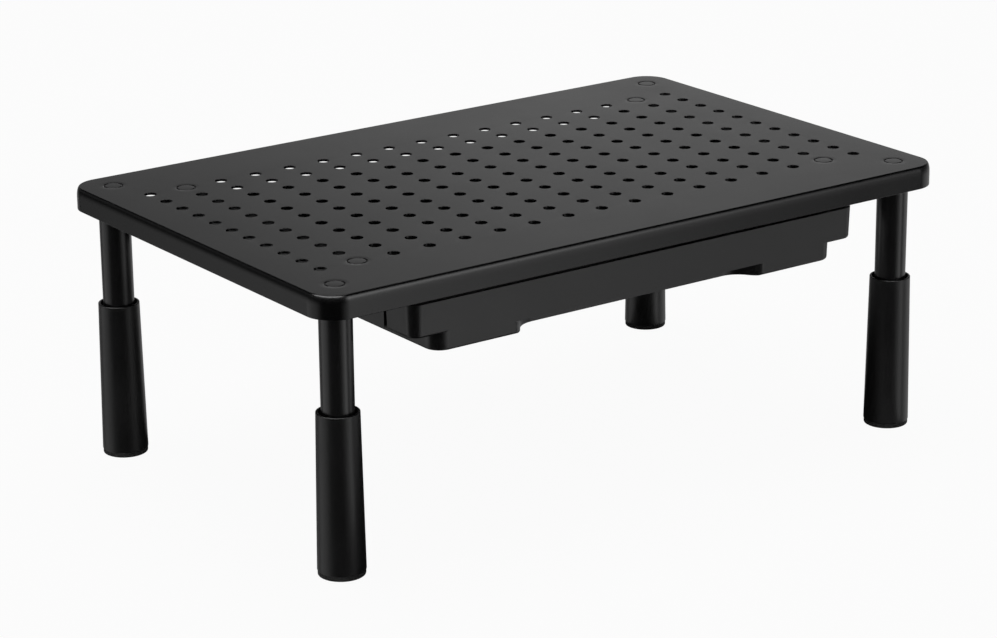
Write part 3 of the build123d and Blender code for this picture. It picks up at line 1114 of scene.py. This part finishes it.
# %% Room
FLOOR_CARDS = (
    (-180, 0.50),
    (-140, 0.30),
    (-115, 0.01),
    (-111, 0.70),
    (-62, 0.50),
    (-45, 0.03),
    (30, 0.01),
    (56, 0.60),
    (62, 0.98),
    (71, 1.20),
    (75, 0.34),
    (77, 0.02),
    (88, 0.05),
    (100, 0.70),
    (120, 0.60),
    (180, 0.50),
)
WALL_CARDS = (
    (-180, 0.50),
    (-130, 0.01),
    (45, 0.01),
    (56, 0.80),
    (62, 1.10),
    (71, 1.10),
    (77, 0.05),
    (120, 0.20),
    (180, 0.50),
)
UPPER_CARDS = (
    (-180, 0.59),
    (-177, 0.47),
    (-174, 0.36),
    (-165, 0.18),
    (-110, 0.12),
    (48, 0.12),
    (56, 4.00),
    (68, 4.00),
    (76, 0.02),
    (130, 0.15),
    (165, 0.48),
    (176, 0.59),
    (180, 0.59),
)
HIGH_CARDS = (
    (-180, 0.00),
    (-92, 0.00),
    (-76, 6.00),
    (32, 6.00),
    (44, 0.00),
    (180, 0.00),
)
HIGH_FOOT = (0.46, 0.54)
HIGH_TOP = (0.72, 0.84)
WALL_FOOT = (-0.28, -0.02)
UPPER_FOOT = (0.02, 0.10)
CEILING = (0.20, 0.46)
ROOM_STRENGTH = 0.25


def smooth_step(tree, value, start, end):
    """A soft step from 0 to 1 while the value goes from start to end."""
    step = tree.nodes.new("ShaderNodeMapRange")
    step.interpolation_type = "SMOOTHSTEP"
    step.inputs["From Min"].default_value = start
    step.inputs["From Max"].default_value = end
    tree.links.new(value, step.inputs["Value"])
    return step.outputs["Result"]


def card_ramp(tree, turn, cards):
    """Brightness round the studio: each card is an angle in degrees from the camera's side."""
    ramp = tree.nodes.new("ShaderNodeValToRGB")
    tree.links.new(turn, ramp.inputs["Fac"])
    stops = ramp.color_ramp.elements
    while len(stops) < len(cards):
        stops.new(0.5)
    for stop, (angle, level) in zip(stops, cards):
        stop.position = (angle + 180) / 360
        stop.color = (level, level, level, 1.0)
    return ramp.outputs["Color"]


def studio_world():
    """What reflections see by direction, a white backdrop for the camera, and low even light."""
    world = bpy.data.worlds.new("studio")
    world.use_nodes = True
    tree = world.node_tree
    tree.nodes.clear()
    turned = tree.nodes.new("ShaderNodeMapping")
    turned.inputs["Rotation"].default_value = (0.0, 0.0, CAMERA_YAW)
    tree.links.new(tree.nodes.new("ShaderNodeTexCoord").outputs["Generated"], turned.inputs["Vector"])
    direction = tree.nodes.new("ShaderNodeSeparateXYZ")
    tree.links.new(turned.outputs["Vector"], direction.inputs["Vector"])
    to_camera = math_node(tree, "MULTIPLY", direction.outputs["Y"], -1.0)
    angle = math_node(tree, "ARCTAN2", direction.outputs["X"], to_camera)
    turn = math_node(tree, "ADD", math_node(tree, "DIVIDE", angle, math.tau), 0.5)
    height = direction.outputs["Z"]
    reflected = card_ramp(tree, turn, FLOOR_CARDS)
    for cards, (start, end) in ((WALL_CARDS, WALL_FOOT), (UPPER_CARDS, UPPER_FOOT)):
        ring = tree.nodes.new("ShaderNodeMix")
        tree.links.new(smooth_step(tree, height, start, end), ring.inputs["Factor"])
        tree.links.new(reflected, ring.inputs["A"])
        tree.links.new(card_ramp(tree, turn, cards), ring.inputs["B"])
        reflected = ring.outputs["Result"]
    below_ceiling = math_node(tree, "SUBTRACT", 1.0, smooth_step(tree, height, *CEILING))
    reflected = math_node(tree, "MULTIPLY", reflected, below_ceiling)
    above_foot = smooth_step(tree, height, *HIGH_FOOT)
    above_top = smooth_step(tree, height, *HIGH_TOP)
    high_band = math_node(tree, "SUBTRACT", above_foot, above_top)
    high = math_node(tree, "MULTIPLY", card_ramp(tree, turn, HIGH_CARDS), high_band)
    reflected = math_node(tree, "ADD", reflected, high)

    path, seen = seen_rays(tree)
    white = tree.nodes.new("ShaderNodeBackground")
    white.inputs["Color"].default_value = (WHITE, WHITE, WHITE, 1.0)
    backdrop = math_node(tree, "MAXIMUM", reflected, path.outputs["Is Camera Ray"])
    tree.links.new(backdrop, white.inputs["Strength"])
    room = tree.nodes.new("ShaderNodeBackground")
    room.inputs["Strength"].default_value = ROOM_STRENGTH
    room.inputs["Color"].default_value = (1.0, 1.0, 1.0, 1.0)
    mix = tree.nodes.new("ShaderNodeMixShader")
    tree.links.new(seen, mix.inputs["Fac"])
    tree.links.new(room.outputs["Background"], mix.inputs[1])
    tree.links.new(white.outputs["Background"], mix.inputs[2])
    output = tree.nodes.new("ShaderNodeOutputWorld")
    tree.links.new(mix.outputs["Shader"], output.inputs["Surface"])
    return world


bpy.context.scene.world = studio_world()
stops = len(FLOOR_CARDS) + len(WALL_CARDS) + len(UPPER_CARDS) + len(HIGH_CARDS)
print("studio of four rings with", stops, "stops")

# %% [markdown]
# One large soft lamp overhead gives the floor its shadow and the coats their small share of
# plain light. The likeness comes from the world above, so the lamp stays weak.

# %% Lights
KEY_PLACE = Vector((0.0, 0.3, 2.0))
KEY_SIZE = (1.8, 1.4)
KEY_WATTS = 12.0
KEY_AIM = Vector((0.0, 0.0, 0.12))

key_data = bpy.data.lights.new("overhead_softbox", "AREA")
key_data.shape = "RECTANGLE"
key_data.size, key_data.size_y = KEY_SIZE
key_data.energy = KEY_WATTS
key = bpy.data.objects.new("overhead_softbox", key_data)
bpy.context.scene.collection.objects.link(key)
key.location = KEY_PLACE
key.rotation_euler = (KEY_AIM - KEY_PLACE).to_track_quat("-Z", "Y").to_euler()

print("lamp of", KEY_WATTS, "W")

# %% [markdown]
# A real stand shades the floor beneath it, and the sleeves mirror that dark patch. The world
# has no such shade, so a black panel lies just over the floor, seen by reflections alone.

# %% Shade under the stand
SHADE_INSET = 12 * MM
SHADE_FORWARD = 62 * MM
SHADE_LIFT = 0.2 * MM
shade_x = plate_high.x - SHADE_INSET
shade_rear = plate_high.y - SHADE_INSET
shade_front = plate_low.y - SHADE_FORWARD
stand_shade = mesh_object(
    "stand_shade",
    [
        (-shade_x, shade_front, SHADE_LIFT),
        (shade_x, shade_front, SHADE_LIFT),
        (shade_x, shade_rear, SHADE_LIFT),
        (-shade_x, shade_rear, SHADE_LIFT),
    ],
    [(0, 1, 2, 3)],
)
shade_finish = bpy.data.materials.new("stand_shade")
shade_finish.use_nodes = True
shade_finish.node_tree.nodes["Principled BSDF"].inputs["Base Color"].default_value = (0.0, 0.0, 0.0, 1.0)
stand_shade.data.materials.append(shade_finish)
for ray in ("camera", "diffuse", "transmission", "volume_scatter", "shadow"):
    setattr(stand_shade, "visible_" + ray, False)
print("shade", round(2 * shade_x / MM), "by", round((shade_rear - shade_front) / MM), "mm")
